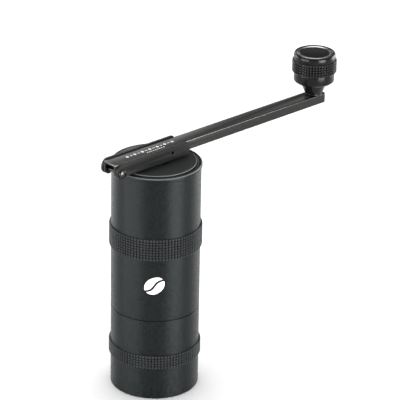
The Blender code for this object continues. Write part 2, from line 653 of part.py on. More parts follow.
def make_finishes():
    return {
        "anodised": make_material("anodised", (0.035, 0.036, 0.038), 0.5, 0.6),
        "satin": make_material("satin", (0.05, 0.052, 0.055), 0.45, 0.6),
        "matte": make_material("matte", (0.03, 0.03, 0.032), 0.55, 0.3),
        "gunmetal": make_material("gunmetal", (0.12, 0.118, 0.115), 0.4, 0.9),
        "gloss": make_material("gloss", (0.02, 0.02, 0.021), 0.18, 0.5),
        "disc": make_material("disc", (0.03, 0.03, 0.031), 0.4, 0.3),
        "steel": make_material("steel", (0.55, 0.55, 0.56), 0.3, 1.0),
        "spring_steel": make_material("spring_steel", (0.4, 0.4, 0.42), 0.35, 1.0),
        "burr_steel": make_material("burr_steel", (0.5, 0.5, 0.51), 0.35, 1.0),
        "bronze": make_material("bronze", (0.45, 0.3, 0.14), 0.4, 1.0),
        "brass": make_material("brass", (0.6, 0.45, 0.2), 0.35, 1.0),
        "cast": make_material("cast", (0.3, 0.3, 0.31), 0.5, 0.9),
        "rubber": make_material("rubber", (0.02, 0.02, 0.02), 0.8, 0.0),
    }


def make_groups():
    """One empty for each moving group, standing on its joint's axis."""
    groups = {"cup": make_empty("cup_group", (0, 0, 0))}
    groups["seal"] = make_empty("seal_group", (0, 0, CUP_TOP), groups["cup"])
    groups["body"] = make_empty("body_group", (0, 0, BODY_BOTTOM), groups["seal"])
    groups["shaft"] = make_empty("shaft_group", (0, 0, SHAFT_BOTTOM), groups["body"])
    groups["burr"] = make_empty("burr_group", (0, 0, INNER_BURR_BOTTOM), groups["shaft"])
    groups["dial"] = make_empty("dial_group", (0, 0, DIAL[0]), groups["burr"])
    groups["lid"] = make_empty("lid_group", (0, 0, LID_BOTTOM), groups["body"])
    groups["crank"] = make_empty("crank_group", (0, 0, SOCKET_TOP), groups["lid"])
    groups["arm"] = make_empty("arm_group", (PIVOT_X, 0, PIVOT_Z), groups["crank"])
    groups["knob"] = make_empty("knob_group", (KNOB_X, 0, ARM_TOP), groups["arm"])
    return groups


def build():
    clear_scene()
    finish = make_finishes()
    groups = make_groups()
    build_cup(finish, groups["cup"])
    build_cup_seal(finish, groups["seal"])
    build_body_tube(finish, groups["body"])
    build_outer_burr(finish, groups["body"])
    for level, bottom in (("lower", LOWER_BRIDGE_BOTTOM), ("upper", UPPER_BRIDGE_BOTTOM)):
        build_bridge(f"{level}_bridge", bottom, finish, groups["body"])
        build_bearing(f"{level}_bearing", bottom, finish, groups["body"])
    build_drive_shaft(finish, groups["shaft"])
    build_burr_spring(finish, groups["shaft"])
    build_inner_burr(finish, groups["burr"])
    build_adjusting_dial(finish, groups["dial"])
    build_lid(finish, groups["lid"])
    build_drive_socket(finish, groups["crank"])
    build_crank_bracket(finish, groups["crank"])
    build_bracket_screw(finish, groups["crank"])
    build_cross_pin(finish, groups["crank"])
    build_crank_arm(finish, groups["arm"])
    build_detent(finish, groups["arm"])
    build_knob_stem(finish, groups["arm"])
    build_knob(finish, groups["knob"])


build()
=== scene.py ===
"""Looks of the hand crank coffee grinder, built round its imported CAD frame. Metres, +Z up."""

import json
import math

import bmesh
import bpy
from mathutils import Matrix, Vector

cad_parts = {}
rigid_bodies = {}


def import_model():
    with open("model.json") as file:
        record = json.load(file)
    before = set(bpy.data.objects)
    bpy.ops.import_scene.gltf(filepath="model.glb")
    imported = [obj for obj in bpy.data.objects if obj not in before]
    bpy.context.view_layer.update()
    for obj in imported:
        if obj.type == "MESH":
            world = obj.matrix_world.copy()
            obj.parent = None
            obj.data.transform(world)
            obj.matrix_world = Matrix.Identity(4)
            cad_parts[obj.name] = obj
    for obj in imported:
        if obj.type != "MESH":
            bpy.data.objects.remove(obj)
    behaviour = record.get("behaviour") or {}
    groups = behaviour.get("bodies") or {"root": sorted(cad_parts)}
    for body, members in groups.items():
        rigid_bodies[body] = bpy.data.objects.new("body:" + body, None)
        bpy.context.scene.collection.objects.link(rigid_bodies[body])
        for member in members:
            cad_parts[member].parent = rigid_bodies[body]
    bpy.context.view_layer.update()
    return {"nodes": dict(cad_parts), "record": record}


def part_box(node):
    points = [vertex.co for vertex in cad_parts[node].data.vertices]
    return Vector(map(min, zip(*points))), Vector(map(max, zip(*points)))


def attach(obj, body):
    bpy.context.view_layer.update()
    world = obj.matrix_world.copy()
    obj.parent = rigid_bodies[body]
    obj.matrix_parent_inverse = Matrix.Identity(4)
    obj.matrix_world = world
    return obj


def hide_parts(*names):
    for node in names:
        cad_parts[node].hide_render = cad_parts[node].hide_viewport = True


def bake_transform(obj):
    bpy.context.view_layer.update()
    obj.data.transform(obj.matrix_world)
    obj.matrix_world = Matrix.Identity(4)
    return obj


MM = 0.001
TINY = 0.001 * MM

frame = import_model()
BODY_OF = {node: body for body, nodes in frame["record"]["behaviour"]["bodies"].items() for node in nodes}

# Driving sizes, read from the frame
CUP_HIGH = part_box("cup")[1]
ARM_LOW, ARM_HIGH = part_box("crank_arm")
BRACKET_LOW, BRACKET_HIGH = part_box("crank_bracket")
CAP_LOW, CAP_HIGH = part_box("knob_cap")
GRIP_LOW, GRIP_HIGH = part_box("knob_grip")
PIN_LOW, PIN_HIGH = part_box("pivot_screw")
BAND_CREST = CUP_HIGH.x
TUBE_R = BAND_CREST - 1.05 * MM
KNOB_X = (CAP_LOW.x + CAP_HIGH.x) / 2
PIVOT = Vector(((PIN_LOW.x + PIN_HIGH.x) / 2, 0, (PIN_LOW.z + PIN_HIGH.z) / 2))

# Sizes that the frame doesn't give
DETENT = (6.0 * MM, 140.8 * MM)     # X and Z of the hole that the ball clicks into
THREAD_LEAD = 4.4 * MM
THREAD_STARTS = 2

# Facets round a turned piece, and a burr's teeth, whose counts divide its facets
SMOOTH, SMALL = 144, 72
BURR_STEPS, FINE_TEETH, FEED_TEETH = 216, 36, 12


# ---------------- materials

def map_range(tree, value, *ends, interpolation="LINEAR"):
    """Takes a value from a range (ends 1 and 2) to another one (ends 3 and 4)."""
    node = tree.nodes.new("ShaderNodeMapRange")
    node.interpolation_type = interpolation
    for socket, number in zip(("From Min", "From Max", "To Min", "To Max"), ends):
        node.inputs[socket].default_value = number
    tree.links.new(value, node.inputs["Value"])
    return node.outputs["Result"]


class Surface:
    """A Principled material whose colour, roughness and relief come from procedural nodes."""

    def __init__(self, name, colour, roughness, metallic=0.0, stretch=(1, 1, 1), **constants):
        self.material = bpy.data.materials.new(name)
        self.material.use_nodes = True
        self.tree = self.material.node_tree
        self.shader = self.tree.nodes["Principled BSDF"]
        self.colour = colour
        self.set("Base Color", (*colour, 1))
        self.set("Roughness", roughness)
        self.set("Metallic", metallic)
        for socket, value in constants.items():
            self.set(socket.replace("_", " "), value)
        place = self.node("TexCoord")
        mapping = self.node("Mapping")
        mapping.inputs["Scale"].default_value = stretch
        self.join(place.outputs["Object"], mapping.inputs["Vector"])
        self.place = mapping.outputs["Vector"]
        self.height = None

    def set(self, socket, value):
        self.shader.inputs[socket].default_value = value

    def node(self, kind):
        return self.tree.nodes.new("ShaderNode" + kind)

    def join(self, out, into):
        self.tree.links.new(out, into)

    def noise(self, size, detail=3.0, roughness=0.55, place=None):
        """Noise whose features are about that size in metres."""
        node = self.node("TexNoise")
        node.inputs["Scale"].default_value = 1 / size
        node.inputs["Detail"].default_value = detail
        node.inputs["Roughness"].default_value = roughness
        self.join(place or self.place, node.inputs["Vector"])
        return node.outputs["Fac"]

    def math(self, operation, *values):
        node = self.node("Math")
        node.operation = operation
        for index, value in enumerate(values):
            if isinstance(value, float):
                node.inputs[index].default_value = value
            else:
                self.join(value, node.inputs[index])
        return node.outputs[0]

    def rings(self, size, centre_x=0.0):
        """Fine turning lines: noise that changes only with the distance from an upright axis."""
        split = self.node("SeparateXYZ")
        self.join(self.place, split.inputs[0])
        across = self.math("SUBTRACT", split.outputs["X"], centre_x)
        square = self.math("ADD", self.math("MULTIPLY", across, across),
                           self.math("MULTIPLY", split.outputs["Y"], split.outputs["Y"]))
        join = self.node("CombineXYZ")
        self.join(self.math("SQRT", square), join.inputs["X"])
        self.join(split.outputs["Z"], join.inputs["Z"])
        return self.noise(size, 2.0, 0.5, join.outputs[0])

    def spread(self, value, low, high):
        """Takes the middle of a noise, where most of its values lie, to the range from low to high."""
        return map_range(self.tree, value, 0.3, 0.7, low, high)

    def tint(self, value, dark, light):
        """Mottles the colour from dark to light times the base colour."""
        value = self.spread(value, 0, 1)
        node = self.node("Mix")
        node.data_type = "RGBA"
        node.inputs["A"].default_value = (*[min(1, c * dark) for c in self.colour], 1)
        node.inputs["B"].default_value = (*[min(1, c * light) for c in self.colour], 1)
        self.join(value, node.inputs["Factor"])
        self.join(node.outputs["Result"], self.shader.inputs["Base Color"])

    def painted_highlight(self, lighter):
        """Paints a highlight: a lighter colour where the mesh marks it, on knurl crests and rounded top
        edges.
        """
        mark = self.node("Attribute")
        mark.attribute_name = "painted_highlight"
        node = self.node("Mix")
        node.data_type = "RGBA"
        before = self.shader.inputs["Base Color"]
        self.join(before.links[0].from_socket, node.inputs["A"])
        node.inputs["B"].default_value = (*lighter, 1)
        self.join(mark.outputs["Fac"], node.inputs["Factor"])
        self.join(node.outputs["Result"], before)

    def rough(self, value, low, high):
        self.join(self.spread(value, low, high), self.shader.inputs["Roughness"])

    def relief(self, value, depth):
        """Adds fine relief of that depth in metres."""
        node = self.node("Bump")
        node.inputs["Distance"].default_value = depth
        self.join(value, node.inputs["Height"])
        if self.height is not None:
            self.join(self.height, node.inputs["Normal"])
        self.height = node.outputs["Normal"]
        self.join(self.height, self.shader.inputs["Normal"])


def anodised(name, colour=(0.0046, 0.0052, 0.0054), painted_highlight=None):
    s = Surface(name, colour, 0.42, Specular_IOR_Level=0.13,
                Specular_Tint=(0.88, 1.0, 1.03, 1), Anisotropic=0.85, Anisotropic_Rotation=0.25)
    around = s.node("Tangent")
    around.direction_type = "RADIAL"
    around.axis = "Z"
    s.join(around.outputs[0], s.shader.inputs["Tangent"])
    grain = s.noise(1.3 * MM, 4.0, 0.7)
    s.tint(grain, 0.4, 1.8)
    s.rough(s.spread(grain, 0, 1), 0.32, 0.5)
    s.relief(s.noise(1.1 * MM, 4.0, 0.75), 0.09 * MM)
    # Marked faces get a lighter colour, a painted highlight.
    if painted_highlight:
        s.painted_highlight(painted_highlight)
    return s.material


def satin_lid(painted_highlight):
    s = Surface("satin_lid", (0.007, 0.0075, 0.0078), 0.36, Specular_IOR_Level=0.2)
    lines = s.rings(0.18 * MM)
    s.tint(s.noise(1.5 * MM, 4.0, 0.7), 0.8, 1.3)
    s.rough(lines, 0.3, 0.46)
    s.relief(lines, 0.004 * MM)
    s.relief(s.noise(0.4 * MM, 2.0), 0.008 * MM)
    # Marked faces get a lighter colour, a painted highlight.
    s.painted_highlight(painted_highlight)
    return s.material


def matte_bracket():
    s = Surface("matte_bracket", (0.0055, 0.0056, 0.0058), 0.42, Specular_IOR_Level=0.12)
    s.tint(s.noise(0.8 * MM, 4.0, 0.7), 0.75, 1.3)
    s.rough(s.noise(3 * MM), 0.4, 0.54)
    s.relief(s.noise(0.45 * MM, 3.0, 0.6), 0.018 * MM)
    return s.material


def gunmetal(painted_highlight):
    s = Surface("gunmetal", (0.0215, 0.0212, 0.0204), 0.36, 0.85, stretch=(0.03, 1, 1))
    lines = s.noise(0.16 * MM, 3.0, 0.7)
    s.tint(lines, 0.82, 1.22)
    s.rough(lines, 0.28, 0.42)
    s.relief(lines, 0.004 * MM)
    # Marked faces get a lighter colour, a painted highlight.
    s.painted_highlight(painted_highlight)
    return s.material


def knob_black(name, roughness, colour=(0.0035, 0.0036, 0.0038), painted_highlight=None):
    s = Surface(name, colour, roughness, Specular_IOR_Level=0.14)
    s.tint(s.noise(2 * MM), 0.8, 1.25)
    s.rough(s.noise(2.4 * MM, 4.0, 0.65), roughness - 0.04, roughness + 0.08)
    s.relief(s.rings(0.25 * MM, KNOB_X), 0.0015 * MM)
    # Marked faces get a lighter colour, a painted highlight.
    if painted_highlight:
        s.painted_highlight(painted_highlight)
    return s.material


def inlay():
    s = Surface("knob_inlay", (0.0035, 0.0036, 0.0038), 0.36, Specular_IOR_Level=0.06)
    s.tint(s.noise(0.7 * MM), 0.8, 1.25)
    s.rough(s.noise(2.5 * MM), 0.28, 0.36)
    s.relief(s.rings(0.2 * MM, KNOB_X), 0.002 * MM)
    return s.material


def turned_metal(name, colour, roughness, centre_x=0.0):
    s = Surface(name, colour, roughness, 1.0)
    lines = s.rings(0.2 * MM, centre_x)
    s.tint(s.noise(2 * MM, 4.0, 0.65), 0.82, 1.08)
    s.rough(lines, roughness - 0.08, roughness + 0.1)
    s.relief(lines, 0.003 * MM)
    return s.material


def plain_metal(name, colour, roughness, grain, depth):
    s = Surface(name, colour, roughness, 1.0)
    s.tint(s.noise(1.6 * MM, 4.0, 0.65), 0.8, 1.1)
    s.rough(s.noise(1.2 * MM), roughness - 0.07, roughness + 0.1)
    s.relief(s.noise(grain, 3.0, 0.6), depth)
    return s.material


def rubber():
    s = Surface("rubber", (0.018, 0.018, 0.019), 0.75, Specular_IOR_Level=0.35)
    s.tint(s.noise(1.2 * MM), 0.8, 1.3)
    s.rough(s.noise(2 * MM), 0.68, 0.82)
    s.relief(s.noise(0.3 * MM), 0.01 * MM)
    return s.material


def printed(name, colour):
    s = Surface(name, colour, 0.5, Specular_IOR_Level=0.4)
    s.tint(s.noise(0.5 * MM, 4.0, 0.7), 0.93, 1.04)
    s.rough(s.noise(1.5 * MM), 0.45, 0.58)
    s.relief(s.noise(0.25 * MM, 2.0), 0.004 * MM)
    return s.material


STEEL = (0.56, 0.56, 0.57)
LOOK = {
    # Lighter colours for marked faces are painted highlights, on the knurls' crests and on the rounded top
    # edges of the tube, the lid and the arm.
    "anodised": anodised("anodised", painted_highlight=(0.07, 0.0735, 0.075)),
    # The grip's base colour, darker than the tube's, is painted shade in the knurl's grooves.
    "grip": anodised("anodised_grip", (0.0010, 0.0011, 0.0012), painted_highlight=(0.02, 0.021, 0.0215)),
    "satin_lid": satin_lid((0.07, 0.072, 0.074)),
    "matte_bracket": matte_bracket(),
    "gunmetal": gunmetal((0.30, 0.29, 0.27)),
    "knob_gloss": knob_black("knob_gloss", 0.17),
    # The knob knurl's base colour, darker than the knob's, is painted shade in its grooves.
    "knob_knurl": knob_black("knob_knurl", 0.2, (0.0008, 0.0008, 0.0009), (0.014, 0.014, 0.0145)),
    "knob_inlay": inlay(),
    "steel": turned_metal("steel", STEEL, 0.3),
    "knob_steel": turned_metal("knob_steel", STEEL, 0.28, centre_x=KNOB_X),
    # Black steel is the knob stem's own dark colour, and painted shade on the drive socket under the bracket.
    "black_steel_and_shade": turned_metal("black_steel_and_shade", (0.035, 0.035, 0.036), 0.3, centre_x=KNOB_X),
    "bead": turned_metal("bead_metal", (0.2, 0.2, 0.205), 0.22, centre_x=KNOB_X),
    # This dark bronze is painted shade on the lid bush under the bracket.
    "bronze_painted_shade": plain_metal("bronze_painted_shade", (0.03, 0.024, 0.018), 0.7, 0.25 * MM, 0.01 * MM),
    "pin_steel": plain_metal("pin_steel", (0.045, 0.044, 0.042), 0.22, 0.3 * MM, 0.003 * MM),
    "spring_steel": plain_metal("spring_steel", (0.36, 0.36, 0.38), 0.32, 0.2 * MM, 0.003 * MM),
    "burr_steel": plain_metal("burr_steel", (0.5, 0.5, 0.51), 0.3, 0.25 * MM, 0.005 * MM),
    "bronze": plain_metal("bronze", (0.46, 0.3, 0.15), 0.4, 0.25 * MM, 0.01 * MM),
    "brass": turned_metal("brass", (0.66, 0.48, 0.21), 0.3),
    "cast": plain_metal("cast", (0.34, 0.34, 0.35), 0.48, 0.5 * MM, 0.03 * MM),
    "rubber": rubber(),
    "mark": printed("mark_white", (0.82, 0.82, 0.80)),
    "arm_mark": printed("mark_grey", (0.50, 0.49, 0.47)),
}


# ---------------- mesh helpers

def dress(obj, look, *nodes, body=None):
    """Gives a piece its material and body, and hides the CAD nodes that it stands for."""
    obj.data.materials.clear()
    obj.data.materials.append(LOOK[look])
    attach(obj, body or BODY_OF[nodes[0]])
    if nodes:
        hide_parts(*nodes)


def new_object(name, data):
    obj = bpy.data.objects.new(name, data)
    bpy.context.scene.collection.objects.link(obj)
    return obj


def shade(mesh, sharp):
    mesh.shade_smooth()
    mesh.set_sharp_from_angle(angle=math.radians(sharp))


def to_object(name, bm, sharp=32):
    bmesh.ops.recalc_face_normals(bm, faces=bm.faces)
    mesh = bpy.data.meshes.new(name)
    bm.to_mesh(mesh)
    bm.free()
    shade(mesh, sharp)
    return new_object(name, mesh)


def polar(bm, radius, angle, height, centre_x=0.0):
    """A new vertex at that radius and angle round an upright axis."""
    return bm.verts.new((centre_x + radius * math.cos(angle), radius * math.sin(angle), height))


def arc(centre, radius, start, end, steps):
    points = []
    for step in range(steps + 1):
        angle = math.radians(start + (end - start) * step / steps)
        points.append((centre[0] + radius * math.cos(angle), centre[1] + radius * math.sin(angle)))
    return points


def soften(corners, radius, steps=3):
    """Rounds the corners of a closed outline, apart from those that lie left of or on its axis."""
    outline = []
    for index, corner in enumerate(corners):
        here = Vector(corner)
        back = Vector(corners[index - 1]) - here
        on = Vector(corners[(index + 1) % len(corners)]) - here
        straight = min(back.length, on.length) < TINY or back.angle(on) > math.radians(170)
        if straight or here.x < TINY:
            outline.append(here)
            continue
        reach = min(radius / math.tan(back.angle(on) / 2), 0.45 * min(back.length, on.length))
        start = here + back.normalized() * reach
        end = here + on.normalized() * reach
        for step in range(steps + 1):
            share = step / steps
            outline.append(start * (1 - share) ** 2 + here * 2 * share * (1 - share) + end * share ** 2)
    return outline


def lathe(bm, outline, segments=SMOOTH, shape=None, centre_x=0.0):
    """Turns a closed (radius, height) outline. shape(radius, height) may give a factor by angle."""
    rings = []
    for radius, height in outline:
        if radius < TINY:
            rings.append([bm.verts.new((centre_x, 0, height))])
            continue
        factor = shape(radius, height) if shape else None
        ring = []
        for step in range(segments):
            angle = 2 * math.pi * step / segments
            reach = radius * (factor(angle) if factor else 1)
            ring.append(polar(bm, reach, angle, height, centre_x))
        rings.append(ring)
    for ring, following in zip(rings, rings[1:] + rings[:1]):
        bridge(bm, ring, following, segments)


def bridge(bm, ring, following, segments):
    for step in range(segments):
        after = (step + 1) % segments
        corners = [ring[step % len(ring)], ring[after % len(ring)],
                   following[after % len(following)], following[step % len(following)]]
        corners = list(dict.fromkeys(corners))
        if len(corners) > 2:
            bm.faces.new(corners)


def cad_outline(node, axis=0.0):
    """The outline of a turned CAD node on the +X side of its axis, as (radius, height) points."""
    mesh = frame["nodes"][node].data
    spot = {}
    for vertex in mesh.vertices:
        if abs(vertex.co.y) < TINY and vertex.co.x > axis - TINY:
            spot[vertex.index] = (round((vertex.co.x - axis) / TINY), round(vertex.co.z / TINY))
    links = {place: set() for place in spot.values()}
    for edge in mesh.edges:
        first, second = (spot.get(index) for index in edge.vertices)
        if first is not None and second is not None and first != second:
            links[first].add(second)
            links[second].add(first)
    for loose in [place for place in links if len(links[place]) == 1]:
        if len(links[loose]) != 1:
            continue
        partners = [p for p in links if p != loose and len(links[p]) == 1 and p[1] == loose[1]]
        partner = partners[0] if partners else (0, loose[1])
        links[loose].add(partner)
        links.setdefault(partner, set()).add(loose)
    ends = [place for place in links if len(links[place]) == 1]
    if len(ends) == 2:
        links[ends[0]].add(ends[1])
        links[ends[1]].add(ends[0])
    start = min(links)
    loop, before = [start], None
    while True:
        following = [place for place in links[loop[-1]] if place != before]
        before = loop[-1]
        if not following or following[0] == start:
            break
        loop.append(following[0])
    return [(across * TINY, up * TINY) for across, up in loop]


def top_of(outline):
    return max(height for radius, height in outline)


def bore_of(node, axis=0.0):
    return min(radius for radius, height in cad_outline(node, axis))


def turned(name, outline, segments=SMOOTH, shape=None, centre_x=0.0):
    bm = bmesh.new()
    lathe(bm, outline, segments, shape, centre_x)
    return to_object(name, bm)


def refined(node, look, fillet=0.15 * MM, axis=0.0, segments=SMALL, shape=None):
    """A fine turned piece with rounded corners, on the outline of its CAD node."""
    outline = soften(cad_outline(node, axis), fillet)
    dress(turned(node + "_shown", outline, segments, shape, axis), look, node)


def prism(bm, outline, low, high, axis):
    """Extrudes an outline along Y (outline in X, Z) or Z (outline in X, Y)."""
    def corner(point, level):
        if axis == "Y":
            return bm.verts.new((point[0], level, point[1]))
        return bm.verts.new((point[0], point[1], level))
    near = [corner(point, low) for point in outline]
    far = [corner(point, high) for point in outline]
    bm.faces.new(near)
    bm.faces.new(list(reversed(far)))
    for index in range(len(outline)):
        after = (index + 1) % len(outline)
        bm.faces.new((near[index], near[after], far[after], far[index]))


def solid(name, outline, low, high, axis):
    bm = bmesh.new()
    prism(bm, outline, low, high, axis)
    return to_object(name, bm)


def block(name, low, high):
    outline = [(low[0], low[1]), (high[0], low[1]), (high[0], high[1]), (low[0], high[1])]
    return solid(name, outline, low[2], high[2], "Z")


def rod(name, radius, low, high, place, segments=48):
    bm = bmesh.new()
    lathe(bm, [(0, low), (radius, low), (radius, high), (0, high)], segments)
    bm.transform(place)
    return to_object(name, bm)


def across(x, z):
    """A place whose own axis runs towards -Y, through (x, z)."""
    return Matrix.Translation((x, 0, z)) @ Matrix.Rotation(math.pi / 2, 4, "X")


def carved(obj, cuts, bevel, operation="DIFFERENCE", steps=3):
    """Applies cuts to a piece, then a small rounded bevel on all of its edges."""
    for cut in cuts:
        modifier = obj.modifiers.new(cut.name, "BOOLEAN")
        modifier.operation = "INTERSECT" if cut.name.endswith("_plan") else operation
        modifier.solver = "EXACT"
        modifier.object = cut
    if bevel:
        edge = obj.modifiers.new("edges", "BEVEL")
        edge.width = bevel
        edge.segments = steps
        edge.limit_method = "ANGLE"
        edge.angle_limit = math.radians(35)
        edge.miter_outer = "MITER_ARC"
    bpy.context.view_layer.update()
    evaluated = obj.evaluated_get(bpy.context.evaluated_depsgraph_get())
    mesh = bpy.data.meshes.new_from_object(evaluated)
    obj.modifiers.clear()
    obj.data = mesh
    for cut in cuts:
        bpy.data.objects.remove(cut, do_unlink=True)
    shade(mesh, 40)
    return obj


def mark_edge_highlight(obj, above):
    """Marks the rounded edges that lie above a height for a painted highlight."""
    mesh = obj.data
    painted_highlight = mesh.attributes.new("painted_highlight", "FLOAT", "FACE")
    for face in mesh.polygons:
        slanted = 0.12 < abs(face.normal.z) < 0.97
        painted_highlight.data[face.index].value = 1.0 if slanted and face.center.z > above else 0.0
    return obj


def cover(bm, loops, sides):
    """Joins a row of loops into a skin and closes its two ends."""
    for loop, following in zip(loops, loops[1:]):
        bridge(bm, loop, following, sides)
    bm.faces.new(list(reversed(loops[0])))
    bm.faces.new(loops[-1])


def tube_along(bm, points, radius, sides=12):
    """A round wire along points."""
    loops = []
    for index, point in enumerate(points):
        ahead = points[min(index + 1, len(points) - 1)]
        behind = points[max(index - 1, 0)]
        along = (ahead - behind).normalized()
        out = Vector((point.x, point.y, 0)).normalized()
        out = (out - along * out.dot(along)).normalized()
        side = along.cross(out)
        loop = []
        for step in range(sides):
            angle = 2 * math.pi * step / sides
            spot = point + out * radius * math.cos(angle) + side * radius * math.sin(angle)
            loop.append(bm.verts.new(spot))
        loops.append(loop)
    cover(bm, loops, sides)


def coil(radius, low, high, turns, steps=40):
    """The centreline of a compression spring whose end turns lie flat."""
    flat = 0.6
    points = []
    count = int(turns * steps)
    for step in range(count + 1):
        share = step / count
        rise = min(1, max(0, (share * turns - flat) / (turns - 2 * flat)))
        angle = 2 * math.pi * turns * share
        points.append(Vector((radius * math.cos(angle), radius * math.sin(angle), low + (high - low) * rise)))
    return points


def knurl(name, crest, root, inner, low, high, around, rows, end, flat=0.36, centre_x=0.0):
    """A ring whose outside is cut into square pyramids by level and upright V grooves.

    Crest, root and inner are radii, and end is the radius of the pyramids' feet on both rims, which
    gives the rims their teeth. Flat is the share of a pyramid that its top takes up.
    """
    bm = bmesh.new()
    # Each vertex carries its share of a painted highlight: full on the pyramids' tops and rims, a little on
    # the slopes, none in the grooves.
    painted_highlight = bm.verts.layers.float.new("painted_highlight")
    rise = (high - low) / rows
    saddle, slope_highlight, crest_highlight = 0.35, 0.12, 1.0
    middle_r = root + saddle * (crest - root)

    def spot(radius, turn, height, mark=0.0):
        vertex = polar(bm, radius, 2 * math.pi * turn / around, height, centre_x)
        vertex[painted_highlight] = mark
        return vertex

    def ring(radius, shift, height, mark=0.0):
        return [spot(radius, step + shift, height, mark) for step in range(around)]

    nodes = [ring(root, 0, low + row * rise) for row in range(rows + 1)]
    level = [ring(middle_r, 0.5, low + row * rise, slope_highlight) for row in range(1, rows)]
    level = [ring(end, 0.5, low, crest_highlight)] + level + [ring(end, 0.5, high, crest_highlight)]
    for row in range(rows):
        middle = low + (row + 0.5) * rise
        upright = ring(middle_r, 0, middle, slope_highlight)
        for step in range(around):
            after = (step + 1) % around
            corners = (nodes[row][step], nodes[row][after], nodes[row + 1][after], nodes[row + 1][step])
            sides = (level[row][step], upright[after], level[row + 1][step], upright[step])
            top = [spot(crest, step + 0.5 + side * flat / 2, middle + up * rise * flat / 2, crest_highlight)
                   for side, up in ((-1, -1), (1, -1), (1, 1), (-1, 1))]
            bm.faces.new(top)
            for index in range(4):
                following = (index + 1) % 4
                bm.faces.new((corners[index], sides[index], top[index]))
                bm.faces.new((sides[index], corners[following], top[following]))
                bm.faces.new((sides[index], top[following], top[index]))
    floor, roof = ring(inner, 0, low), ring(inner, 0, high)
    for rim, row in ((floor, 0), (roof, rows)):
        for step in range(around):
            after = (step + 1) % around
            bm.faces.new((rim[step], rim[after], nodes[row][after], level[row][step], nodes[row][step]))
    bridge(bm, floor, roof, around)
    return to_object(name, bm, 12)


def thread(bm, root, crest, low, high):
    """Helical ridges that fade in and out, standing on a bore or a sleeve."""
    steps, fading = 72, 12
    wide, narrow = 0.9 * MM, 0.3 * MM
    sink = 0.15 * MM * (1 if root > crest else -1)
    for start in range(THREAD_STARTS):
        turns = (high - low) / THREAD_LEAD
        count = int(turns * steps)
        loops = []
        for step in range(count + 1):
            share = step / count
            angle = 2 * math.pi * (turns * share + start / THREAD_STARTS)
            height = low + (high - low) * share
            fade = min(1, share * count / fading, (1 - share) * count / fading)
            peak = root + (crest - root) * fade
            loop = []
            for radius, offset in ((root + sink, -wide / 2), (peak, -narrow / 2),
                                   (peak, narrow / 2), (root + sink, wide / 2)):
                loop.append(polar(bm, radius, angle, height + offset))
            loops.append(loop)
        cover(bm, loops, 4)


# ---------------- tube, cup and seal

def split_band(node):
    """A tube's outline without its grip band, and the band's lower and upper edges."""
    outline, outside = cad_outline(node), BAND_CREST - 0.3 * MM
    banded = [height for radius, height in outline if radius > outside]
    kept = [point for point in outline if point[0] < outside]
    return kept, min(banded), max(banded)


def grip_band(name, node, low, high, rows):
    """The knurled band round the cup or the tube."""
    around, depth, rim_drop, sunk = 90, 0.8 * MM, 0.12 * MM, 0.1 * MM
    band = knurl(name, BAND_CREST, BAND_CREST - depth, TUBE_R - sunk, low, high, around, rows,
                 BAND_CREST - rim_drop)
    dress(band, "grip", node)


def build_cup():
    """The cup, with its inside thread and its band."""
    outline, low, high = split_band("cup")
    bore = min(radius for radius, height in outline if height > CUP_HIGH.z / 2)
    groove, overhang = 0.4 * MM, 0.2 * MM
    thread_root = bore + groove
    widened = [(thread_root if abs(radius - bore) < TINY else radius, height) for radius, height in outline]
    bm = bmesh.new()
    lathe(bm, soften(widened, 0.22 * MM, 4))
    thread(bm, thread_root, bore - overhang, CUP_HIGH.z - 7.4 * MM, CUP_HIGH.z - 2.0 * MM)
    dress(to_object("cup_shown", bm), "anodised", "cup")
    grip_band("cup_grip", "cup", low, high, 5)


def build_tube():
    """The body tube, with the threaded skirt that screws into the cup, and its band."""
    outline, low, high = split_band("body_tube")
    skirt, groove, sunk = CUP_HIGH.z - 8.4 * MM, 0.55 * MM, 0.02 * MM
    skirt_r = max(radius for radius, height in outline if height < CUP_HIGH.z)
    thread_root = skirt_r - groove
    slim = []
    for radius, height in outline:
        near_seam = height > CUP_HIGH.z - 0.1 * MM
        slim.append((thread_root if abs(radius - skirt_r) < TINY and not near_seam else radius, height))
    bm = bmesh.new()
    lathe(bm, soften(slim, 0.2 * MM, 4))
    thread(bm, thread_root, skirt_r - sunk, skirt + MM, CUP_HIGH.z - 1.8 * MM)
    tube = to_object("tube_shown", bm)
    # The tube's rounded top edges get a painted highlight.
    dress(mark_edge_highlight(tube, top_of(outline) - 0.4 * MM), "anodised", "body_tube")
    grip_band("tube_grip", "body_tube", low, high, 8)


def build_seal(node):
    """A moulded ring with a round section in the space of its CAD ring."""
    low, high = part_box(node)
    inner = bore_of(node)
    middle = ((inner + high.x) / 2, (low.z + high.z) / 2)
    half_wide, half_high = (high.x - inner) / 2, (high.z - low.z) / 2
    section = [(middle[0] + half_wide * x, middle[1] + half_high * z) for x, z in arc((0, 0), 1, 0, 345, 23)]
    dress(turned(node + "_shown", section), "rubber", node)


